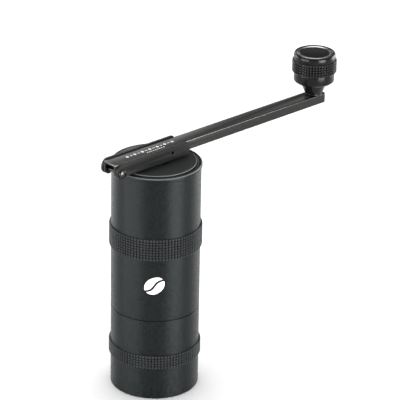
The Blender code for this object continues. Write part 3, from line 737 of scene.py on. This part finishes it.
def build_bean_mark():
    """A plain coffee bean, printed on the tube between the seam and the upper band."""
    facing, tilt = math.radians(-133), math.radians(35)
    centre_z, half_long, half_wide, bend, slit = 70.9 * MM, 6.1 * MM, 4.7 * MM, 0.8 * MM, 1.4 * MM
    columns, layers, tip = 48, 5, 0.996
    bm = bmesh.new()

    def on_tube(along, aside, radius):
        round_tube = along * math.cos(tilt) - aside * math.sin(tilt)
        height = centre_z + along * math.sin(tilt) + aside * math.cos(tilt)
        return polar(bm, radius, facing + round_tube / TUBE_R, height)

    def patch(near, far):
        bm.faces.new((near[0], far[0], far[1], near[1]))

    for side in (-1, 1):
        sheets = []
        for radius in (TUBE_R - 0.05 * MM, TUBE_R + 0.03 * MM):
            grid = []
            for column in range(columns + 1):
                along = -tip * math.cos(math.pi * column / columns)
                rim = side * half_wide * math.sqrt(1 - along * along)
                crease = bend * math.sin(math.pi * along) + side * slit / 2
                grid.append([on_tube(along * half_long, crease + (rim - crease) * layer / layers, radius)
                             for layer in range(layers + 1)])
            sheets.append(grid)
        under, over = sheets
        for column in range(columns):
            for layer in range(layers):
                for grid in sheets:
                    patch(grid[column][layer:layer + 2], grid[column + 1][layer:layer + 2])
            for layer in (0, layers):
                patch((under[column][layer], over[column][layer]),
                      (under[column + 1][layer], over[column + 1][layer]))
        for column in (0, columns):
            for layer in range(layers):
                patch(under[column][layer:layer + 2], over[column][layer:layer + 2])
    dress(to_object("bean_mark", bm), "mark", body="grinder_body")


# ---------------- lid and socket

def build_lid():
    """The lid, with its seal and the bush that the handle's socket turns in."""
    outline = cad_outline("lid_disc")
    lid = turned("lid_shown", soften(outline, 0.25 * MM, 4))
    # The lid's rounded top edges get a painted highlight.
    dress(mark_edge_highlight(lid, top_of(outline) - 0.3 * MM), "satin_lid", "lid_disc")
    build_seal("lid_o_ring")
    # The bush's dark bronze is painted shade under the bracket.
    refined("lid_bush", "bronze_painted_shade", 0.2 * MM)


def hexagon(angle):
    """The reach of a hexagon's edge, as a factor of its inner circle's radius."""
    sector = math.pi / 3
    return 1 / math.cos((angle + sector / 2) % sector - sector / 2)


def clip(node):
    """A snap ring: a flat C with an eared gap."""
    low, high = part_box(node)
    outer = high.y
    inner = bore_of(node)
    outline = arc((0, 0), outer, 22, 338, 60) + arc((0, 0), inner, 330, 30, 50)
    obj = solid(node + "_shown", outline, low.z, high.z, "Z")
    reach = (outer + inner) / 2
    holes = []
    for side in (-1, 1):
        angle = math.radians(side * 38)
        place = Matrix.Translation((reach * math.cos(angle), reach * math.sin(angle), 0))
        holes.append(rod(f"{node}_hole_{side + 1}", 0.45 * MM, low.z - MM, high.z + MM, place, 24))
    carved(obj, holes, 0.08 * MM, steps=2)
    dress(obj, "spring_steel", node)


def build_socket():
    flats, hex_top = 2.8 * MM, 132.1 * MM
    # The socket's black steel is painted shade under the bracket.
    refined("drive_socket", "black_steel_and_shade", shape=lambda radius, height:
            hexagon if abs(radius - flats) < 0.16 * MM and height < hex_top else None)
    clip("socket_clip")


# ---------------- bracket, pin and arm

def build_bracket():
    """The channel over the lid: a floor and two walls that end in lugs past the tube's edge."""
    left, right, top, half = BRACKET_LOW.x, BRACKET_HIGH.x, BRACKET_HIGH.z, BRACKET_HIGH.y
    bottom, floor_top, floor_left = top - 7.5 * MM, top - 5.95 * MM, -25.0 * MM
    inner = half - 1.7 * MM
    lug_r, lug_top_r, corner, nick = PIVOT.x - left, 4.2 * MM, 2.4 * MM, 0.6 * MM
    outline = arc((right - corner, top - corner), corner, 0, 90, 14)
    outline += arc((left + lug_top_r, top - lug_top_r), lug_top_r, 90, 180, 20)
    outline += arc((PIVOT.x, PIVOT.z), lug_r, 180, 270, 18)
    outline += [(PIVOT.x + lug_r * 0.75, bottom), (right - nick, bottom), (right, bottom + nick)]
    obj = solid("bracket_shown", outline, -half, half, "Y")
    far = 50 * MM
    cuts = [
        block("channel_cut", (-far, -inner, floor_top), (far, inner, top + MM)),
        block("heel_cut", (-far, -inner, bottom - 3 * MM), (floor_left, inner, top)),
        rod("pin_cut", 1.7 * MM, -far, far, across(PIVOT.x, PIVOT.z)),
        rod("detent_cut", 0.9 * MM, inner - MM, half + MM, across(*DETENT)),
        rod("screw_cut", 2.3 * MM, bottom - MM, floor_top + MM, Matrix.Identity(4)),
    ]
    carved(obj, cuts, 0.22 * MM)
    dress(obj, "matte_bracket", "crank_bracket")


def build_bracket_screw():
    """The screw that holds the bracket on its socket, with a hexagonal recess in its head."""
    outline = cad_outline("bracket_screw")
    top = top_of(outline)
    lower = [(radius, height) for radius, height in outline if height < top - TINY and radius > TINY]
    lower.sort(key=lambda point: point[1])
    wide = max(radius for radius, height in outline)
    flats, floor, slack = 1.1 * MM, top - 1.2 * MM, 0.15 * MM
    body = [(0, lower[0][1])] + lower + [(wide, top), (flats, top), (flats, floor), (0, floor)]
    screw = turned("bracket_screw_shown", soften(body, 0.15 * MM), 48, lambda radius, height:
                   hexagon if radius < flats + slack and height > floor - 0.1 * MM else None)
    dress(screw, "steel", "bracket_screw")


def dome(radius, low, top):
    """A low domed head over a short rim, from its edge to its pole."""
    rim, steps = 0.25 * MM, 10
    points = [(radius, low)]
    for step in range(steps + 1):
        angle = math.pi / 2 * step / steps
        points.append((radius * math.cos(angle), low + rim + (top - low - rim) * math.sin(angle)))
    points[-1] = (0, top)
    return points


def build_cross_pin():
    """The screw that the arm folds on, and its cap nut on the far side."""
    place = across(PIVOT.x, PIVOT.z)
    pin_r, head_r = 1.4 * MM, 2.35 * MM
    under_head = BRACKET_HIGH.y + 0.3 * MM
    top, tail = -PIN_LOW.y, -PIN_HIGH.y
    bm = bmesh.new()
    head = [(head_r - 0.1 * MM, under_head)] + dome(head_r, under_head + 0.1 * MM, top)
    lathe(bm, [(0, tail), (pin_r - 0.2 * MM, tail), (pin_r, tail + 0.2 * MM), (pin_r, under_head)] + head, 64)
    bm.transform(place)
    dress(to_object("pivot_screw_shown", bm), "pin_steel", "pivot_screw")
    well = pin_r + 0.3 * MM
    bm = bmesh.new()
    lathe(bm, [(well, under_head)] + head + [(0, top - 0.4 * MM), (well, top - 0.4 * MM)], 64)
    bm.transform(place @ Matrix.Rotation(math.pi, 4, "X"))
    nut = to_object("pivot_nut_shown", bm)
    slot_cut = block("nut_slot", (PIVOT.x - 3 * MM, top - 0.3 * MM, PIVOT.z - 0.3 * MM),
                     (PIVOT.x + 3 * MM, top + MM, PIVOT.z + 0.3 * MM))
    carved(nut, [slot_cut], 0)
    dress(nut, "pin_steel", "pivot_nut")


def build_arm():
    """The flat bar: milled out below at the pinned end, where its two walls end in ears."""
    left, right, top, half = ARM_LOW.x, ARM_HIGH.x, ARM_HIGH.z, ARM_HIGH.y
    bottom, plate = top - 5.15 * MM, 1.0 * MM
    pocket_half, pocket_right = 3.6 * MM, -19.0 * MM
    outline = [(right, bottom), (right, top), (left, top)]
    outline += arc((PIVOT.x, PIVOT.z), PIVOT.x - left, 180, 350, 24)
    obj = solid("arm_shown", outline, -half, half, "Y")
    start, beyond, far = left - MM, half + MM, 10 * MM
    corner = 2.3 * MM
    corner_x, corner_y = right - corner, half - corner
    plan = [(start, beyond), (start, -beyond), (corner_x, -beyond)]
    plan += arc((corner_x, -corner_y), corner, -90, 0, 12) + arc((corner_x, corner_y), corner, 0, 90, 12)
    plan += [(corner_x, beyond)]
    upright = Matrix.Translation((KNOB_X, 0, 0))
    cuts = [
        solid("arm_plan", plan, bottom - far, top + MM, "Z"),
        block("pocket_cut", (start, -pocket_half, bottom - far), (pocket_right, pocket_half, top - plate)),
        rod("arm_pin_cut", 1.55 * MM, -beyond, beyond, across(PIVOT.x, PIVOT.z)),
        rod("arm_detent_cut", 1.3 * MM, 0.4 * MM, beyond, across(*DETENT)),
        rod("arm_stem_cut", 2.8 * MM, bottom - MM, top + MM, upright),
        rod("arm_rivet_cut", 3.9 * MM, bottom - MM, bottom + 1.3 * MM, upright),
    ]
    carved(obj, cuts, 0.24 * MM)
    # The arm's rounded top edges get a painted highlight.
    dress(mark_edge_highlight(obj, top - 0.3 * MM), "gunmetal", "crank_arm")


def build_arm_marks():
    """A plain row of printed diamonds and bars on the arm, with a finer row of ticks beside it."""
    low, high = ARM_HIGH.z - 0.05 * MM, ARM_HIGH.z + 0.02 * MM
    bm = bmesh.new()

    def bar(x, half, near, far):
        outline = [(x - half, far), (x - half, near), (x + half, near), (x + half, far)]
        prism(bm, outline, low, high, "Z")

    first, pitch, tick_first, tick_pitch = -21.0 * MM, 2.75 * MM, -8.5 * MM, 1.5 * MM
    for number in range(13):
        x = first + pitch * number
        if number % 2:
            bar(x, 0.9 * MM, 0.25 * MM, 0.75 * MM)
        else:
            diamond = [(x - 1.0 * MM, 0.5 * MM), (x, -0.7 * MM), (x + 1.0 * MM, 0.5 * MM), (x, 1.7 * MM)]
            prism(bm, diamond, low, high, "Z")
    for number in range(9):
        bar(tick_first + tick_pitch * number, 0.35 * MM, -2.5 * MM, -1.7 * MM)
    dress(to_object("arm_marks", bm), "arm_mark", body="arm")


def build_detent():
    """The ball in the arm's near wall, and the small spring behind it."""
    low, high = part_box("detent_ball")
    centre = (low + high) / 2
    radius = (high.y - low.y) / 2
    bm = bmesh.new()
    lathe(bm, [(0, -radius)] + arc((0, 0), radius, -78, 78, 14) + [(0, radius)], 32)
    bm.transform(across(centre.x, centre.z) @ Matrix.Translation((0, 0, -centre.y)))
    dress(to_object("detent_ball_shown", bm), "pin_steel", "detent_ball")
    low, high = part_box("detent_spring")
    wire = 0.2 * MM
    reach = (high.z - low.z) / 2 - wire
    bm = bmesh.new()
    tube_along(bm, coil(reach, -high.y + wire, -low.y - wire, 4.5, 24), wire, 8)
    bm.transform(across(centre.x, centre.z))
    dress(to_object("detent_spring_shown", bm), "spring_steel", "detent_spring")


# ---------------- knob

def knob_piece(name, outline, look, *nodes, body=None):
    """A turned piece on the knob's own axis."""
    dress(turned(name, outline, centre_x=KNOB_X), look, *nodes, body=body)


def build_knob():
    """The turning knob: a bowl on a neck, a knurled ring, a cap with a bright bead and a sunk disc."""
    gap, seam = 0.3 * MM, 0.04 * MM
    shoulder = GRIP_LOW.z - gap
    closed = [(radius, GRIP_LOW.z - seam if abs(height - shoulder) < seam / 2 else height)
              for radius, height in cad_outline("knob_shell", KNOB_X)]
    knob_piece("knob_shell_shown", soften(closed, 0.45 * MM, 4), "knob_gloss", "knob_shell")

    inner = bore_of("knob_grip", KNOB_X)
    outer, top = CAP_HIGH.x - KNOB_X, CAP_HIGH.z
    foot, plate, shelf = GRIP_HIGH.z + 0.05 * MM, top - 2.7 * MM, top - 1.2 * MM
    rim, well = top - 0.6 * MM, 8.1 * MM
    shoulder_curve = ((0, 1.9), (0.12, 1.0), (0.45, 0.4), (1.0, 0.12), (1.5, 0.2), (1.9, 0.6))
    cap = [(inner, foot), (outer, foot)]
    cap += [(outer - inward * MM, top - down * MM) for inward, down in shoulder_curve]
    cap += [(well, rim), (well, shelf), (0, shelf), (0, plate), (inner, plate)]
    knob_piece("knob_cap_shown", soften(cap, 0.2 * MM, 3), "knob_gloss", "knob_cap")
    bead_curve = ((8.75, 0.7), (10.3, 0.7), (10.3, 0.42), (10.15, 0.32), (9.95, 0.25), (9.7, 0.22),
                  (9.45, 0.28), (9.1, 0.42), (8.75, 0.59))
    bead = [(radius * MM, top - down * MM) for radius, down in bead_curve]
    knob_piece("knob_bead", bead, "bead", body="knob")
    low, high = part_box("knob_disc")
    disc = [(0, low.z), (well - 0.06 * MM, low.z), (well - 0.06 * MM, high.z), (0, high.z)]
    knob_piece("knob_disc_shown", soften(disc, 0.12 * MM), "knob_inlay", "knob_disc")

    refined("knob_bush", "bronze", 0.15 * MM, KNOB_X)
    refined("knob_stem", "black_steel_and_shade", 0.2 * MM, KNOB_X)
    build_stem_screw()
    crest, around, rows = GRIP_HIGH.x - KNOB_X, 46, 5
    grip = knurl("knob_grip_shown", crest, crest - 0.8 * MM, inner, GRIP_LOW.z, GRIP_HIGH.z, around, rows,
                 crest - 0.4 * MM, 0.4, KNOB_X)
    dress(grip, "knob_knurl", "knob_grip")


def build_stem_screw():
    """The screw that keeps the knob on its stem, with a hexagonal recess in its head."""
    outline = cad_outline("stem_screw", KNOB_X)
    top = top_of(outline)
    low = min(height for radius, height in outline)
    head_r = max(radius for radius, height in outline)
    shank_r, recess_r, head_low = 1.2 * MM, 1.6 * MM, top - 1.5 * MM
    path = [(0, low), (shank_r, low), (shank_r, head_low), (head_r, head_low), (head_r, top - 0.4 * MM),
            (head_r - 0.4 * MM, top), (recess_r, top), (recess_r, top - MM), (0, top - MM)]
    hex_low = top - 1.1 * MM
    screw = turned("stem_screw_shown", soften(path, 0.12 * MM), 48, lambda radius, height:
                   hexagon if abs(radius - recess_r) < 0.14 * MM and height > hex_low else None, KNOB_X)
    dress(screw, "knob_steel", "stem_screw")


# ---------------- grinding train

def build_shaft():
    """The shaft with its hexagonal end, its clip and washer, and the spring that follows the burr."""
    hex_low = 125.65 * MM
    refined("drive_shaft", "steel", 0.12 * MM, shape=lambda radius, height:
            hexagon if height > hex_low and 2.3 * MM < radius < 2.55 * MM else None)
    clip("shaft_clip")
    refined("spring_washer", "steel", 0.1 * MM)
    low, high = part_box("burr_spring")
    wire = 0.5 * MM
    bm = bmesh.new()
    tube_along(bm, coil(high.x - wire, low.z + wire, high.z - wire, 5.0), wire)
    spring = to_object("burr_spring_shown", bm, 60)
    spring.data.materials.append(LOOK["spring_steel"])
    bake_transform(spring)
    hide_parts("burr_spring")


def build_bridge(node):
    """A cast three-spoked bridge with machined edges."""
    low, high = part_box(node)
    bottom, top = low.z, high.z
    hub_r, seat_r, bore_r = 8.8 * MM, 6.8 * MM, 4.6 * MM
    rim_r, rim_in, rim_top = high.x, high.x - 1.8 * MM, bottom + 4 * MM
    seat_top = bottom + 5.2 * MM
    hub = [(seat_r, bottom), (hub_r, bottom), (hub_r, top - MM), (hub_r - MM, top), (bore_r, top),
           (bore_r, seat_top), (seat_r, seat_top)]
    obj = turned(node + "_shown", soften(hub, 0.15 * MM), SMALL)
    rim = [(rim_in, bottom), (rim_r, bottom), (rim_r, rim_top), (rim_in, rim_top)]
    joined = [turned(node + "_rim", soften(rim, 0.25 * MM))]
    for number in range(3):
        spoke = soften([(-1.8 * MM, bottom + 0.2 * MM), (1.8 * MM, bottom + 0.2 * MM),
                        (1.2 * MM, bottom + 3.8 * MM), (-1.2 * MM, bottom + 3.8 * MM)], 0.4 * MM)
        part = solid(f"{node}_spoke_{number}", spoke, -(rim_r - 0.6 * MM), -(hub_r - MM), "Y")
        part.data.transform(Matrix.Rotation(math.radians(60 + 120 * number) + math.pi / 2, 4, "Z"))
        joined.append(part)
    carved(obj, joined, 0, "UNION")
    dress(obj, "cast", node)


def toothed(node, name, teeth_at, closing):
    """A burr: a turned outline whose working face carries helical teeth.

    Each ring is (radius, height, twist in steps, depth by step). The last ring is joined to the first
    one, which stands closing steps behind it.
    """
    bm = bmesh.new()
    rings = []
    for radius, height, twist, depth in teeth_at:
        ring = []
        for step in range(BURR_STEPS):
            angle = 2 * math.pi * (step + twist) / BURR_STEPS
            reach = radius + (depth(step) if depth else 0)
            ring.append(polar(bm, reach, angle, height))
        rings.append(ring)
    for ring, following in zip(rings, rings[1:]):
        bridge(bm, ring, following, BURR_STEPS)
    last = [rings[-1][(step - closing) % BURR_STEPS] for step in range(BURR_STEPS)]
    bridge(bm, last, rings[0], BURR_STEPS)
    dress(to_object(name, bm, 24), "burr_steel", node)


def saw(count, depth):
    """A sawtooth round the ring: depth by step, with a steep face and a slow back."""
    width = BURR_STEPS // count
    return lambda step: depth * ((step % width) / (width - 1))


def build_burrs():
    """The outer burr, the inner burr with coarse feed teeth above its fine ones, and what holds them."""
    low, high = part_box("outer_burr")
    outline = cad_outline("outer_burr")
    outer = high.x
    exit_r = max(radius for radius, height in outline if radius < outer - MM)
    mouth_r = bore_of("outer_burr")
    cone_top = high.z - 1.5 * MM
    spread = steps = 12
    rings = [(outer, low.z, 0, None), (outer, high.z, 0, None), (mouth_r + 1.2 * MM, high.z, 0, None)]
    for step in range(steps + 1):
        share = step / steps
        radius = mouth_r + (exit_r - mouth_r) * share
        height = cone_top + (low.z - cone_top) * share
        rings.append((radius, height, spread * share, saw(FINE_TEETH, 0.55 * MM)))
    toothed("outer_burr", "outer_burr_shown", rings, spread)

    low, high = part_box("inner_burr")
    bore = bore_of("inner_burr")
    rings = [(bore, high.z, 0, None), (bore, low.z, 0, None), (17.9 * MM, low.z, 0, None)]
    fine = ((18.55, 51.3, 0.6), (17.2, 53.4, 0.7), (15.6, 55.8, 0.8), (14.1, 58.0, 0.9))
    feed = ((12.6, 60.0, 1.6), (10.9, 62.0, 1.9), (9.2, 64.2, 1.9), (7.6, 66.0, 1.2))
    turn, twist = 0, 6
    for count, face in ((FINE_TEETH, fine), (FEED_TEETH, feed)):
        for radius, height, depth in face:
            rings.append((radius * MM, height * MM, turn, saw(count, -depth * MM)))
            turn += twist
    rings.append((6.6 * MM, high.z, turn, None))
    toothed("inner_burr", "inner_burr_shown", rings, turn)
    refined("burr_lock_ring", "steel", segments=SMOOTH)
    refined("click_plate", "steel", 0.1 * MM, segments=SMOOTH,
            shape=lambda radius, height: (lambda angle: 1 - 0.05 * max(0, math.cos(24 * angle)) ** 4)
            if radius > 7.5 * MM else None)


def build_dial():
    """The adjusting dial, whose rim has twelve finger grooves."""
    outer, grooves, swell = 7.7 * MM, 12, 0.087
    refined("adjusting_dial", "brass", 0.3 * MM, segments=SMOOTH, shape=lambda radius, height:
            None if radius < outer
            else lambda angle: 1 + swell - swell * (0.5 + 0.5 * math.cos(grooves * angle)))


# ---------------- floor, light and camera

def add_floor():
    """A plain pale sheet just under the cup."""
    bm = bmesh.new()
    half, level = 12, -0.02 * MM
    bm.faces.new([bm.verts.new((x * half, y * half, level)) for x, y in ((-1, -1), (1, -1), (1, 1), (-1, 1))])
    floor = to_object("floor", bm)
    s = Surface("floor_paper", (0.8, 0.8, 0.8), 0.9, Specular_IOR_Level=0.1)
    floor.data.materials.append(s.material)


def direction(azimuth, elevation=0.0):
    """A direction of length one. Azimuth 0 is towards -Y, and a right angle is towards +X."""
    level = math.cos(elevation)
    return Vector((math.sin(azimuth) * level, -math.cos(azimuth) * level, math.sin(elevation)))


def softbox(name, azimuth, elevation, distance, wide, tall, power, lit=None):
    """A soft light that faces the grinder."""
    aim = Vector((0.02, 0, 0.1))
    towards = direction(math.radians(azimuth), math.radians(elevation))
    data = bpy.data.lights.new(name, "AREA")
    data.shape = "RECTANGLE"
    data.size, data.size_y = wide, tall
    data.energy = power
    lamp = new_object(name, data)
    lamp.location = aim + towards * distance
    lamp.rotation_mode = "QUATERNION"
    lamp.rotation_quaternion = (-towards).to_track_quat("-Z", "Y")
    lamp.visible_camera = False
    if lit:
        lamp.light_linking.receiver_collection = lit


def add_world():
    """A studio that is bright overhead, dim all round and darkest behind the camera."""
    world = bpy.data.worlds.new("studio")
    world.use_nodes = True
    tree = world.node_tree
    join = tree.links.new
    background = tree.nodes["Background"]
    background.inputs["Color"].default_value = (1, 1, 1, 1)
    around = tree.nodes.new("ShaderNodeTexCoord")
    facing = tree.nodes.new("ShaderNodeVectorMath")
    facing.operation = "DOT_PRODUCT"
    facing.inputs[1].default_value = direction(math.radians(-43))
    split = tree.nodes.new("ShaderNodeSeparateXYZ")
    join(around.outputs["Generated"], facing.inputs[0])
    join(around.outputs["Generated"], split.inputs[0])

    def ramp(value, *ends):
        return map_range(tree, value, *ends, interpolation="SMOOTHSTEP")

    mix = tree.nodes.new("ShaderNodeMix")
    mix.data_type = "FLOAT"
    join(ramp(split.outputs["Z"], 0.62, 0.88, 0, 1), mix.inputs["Factor"])
    sides = tree.nodes.new("ShaderNodeMath")
    sides.operation = "MULTIPLY"
    join(ramp(facing.outputs["Value"], 0.1, 0.9, 1, 0.12), sides.inputs[0])
    join(ramp(split.outputs["Z"], 0.06, 0.32, 1.0, 0.22), sides.inputs[1])
    join(sides.outputs[0], mix.inputs["A"])
    mix.inputs["B"].default_value = 2.8
    join(mix.outputs["Result"], background.inputs["Strength"])
    bpy.context.scene.world = world


def add_camera():
    """A long lens, to the front left and a little above."""
    azimuth, elevation, roll = (math.radians(value) for value in (-43.174, 24.358, 1.036))
    back = direction(azimuth, elevation)
    right = Vector((math.cos(azimuth), math.sin(azimuth), 0))
    up = back.cross(right)
    level = right * math.cos(roll) + up * math.sin(roll)
    upright = up * math.cos(roll) - right * math.sin(roll)
    data = bpy.data.cameras.new("camera")
    data.lens = 236.65
    data.sensor_width = 36
    data.clip_start, data.clip_end = 0.05, 60
    camera = new_object("camera", data)
    turn = Matrix((level, upright, back)).transposed().to_4x4()
    camera.matrix_world = Matrix.Translation((-0.89238, -0.98687, 0.71465)) @ turn
    bpy.context.scene.camera = camera


def light_scene():
    """The world, the floor, the soft boxes round the grinder, which light nothing else, and one above."""
    add_world()
    add_floor()
    lit = bpy.data.collections.new("lit")
    for piece in bpy.context.scene.objects:
        if piece.type == "MESH" and piece.name != "floor":
            lit.objects.link(piece)
    softbox("left_box", -101, 6, 0.55, 0.52, 0.32, 6.5, lit)
    softbox("right_box", 6, 6, 0.55, 0.34, 0.32, 7.5, lit)
    softbox("arm_box", 150, 24, 0.45, 0.12, 0.16, 0.19, lit)
    softbox("left_rim", -168, 3, 0.6, 0.34, 0.34, 2.2, lit)
    softbox("right_rim", 80, 3, 0.6, 0.34, 0.34, 2.8, lit)
    softbox("top_box", 137, 72, 1.0, 0.6, 0.6, 4)
    view = bpy.context.scene.view_settings
    view.view_transform = "Standard"
    view.look = "None"


def build():
    build_cup()
    build_seal("cup_seal")
    build_tube()
    build_bean_mark()
    build_lid()
    build_socket()
    build_bracket()
    build_bracket_screw()
    build_cross_pin()
    build_arm()
    build_arm_marks()
    build_detent()
    build_knob()
    build_shaft()
    for level in ("lower", "upper"):
        build_bridge(level + "_bridge")
        refined(level + "_bearing", "steel", 0.12 * MM)
    build_burrs()
    build_dial()


add_camera()
build()
light_scene()
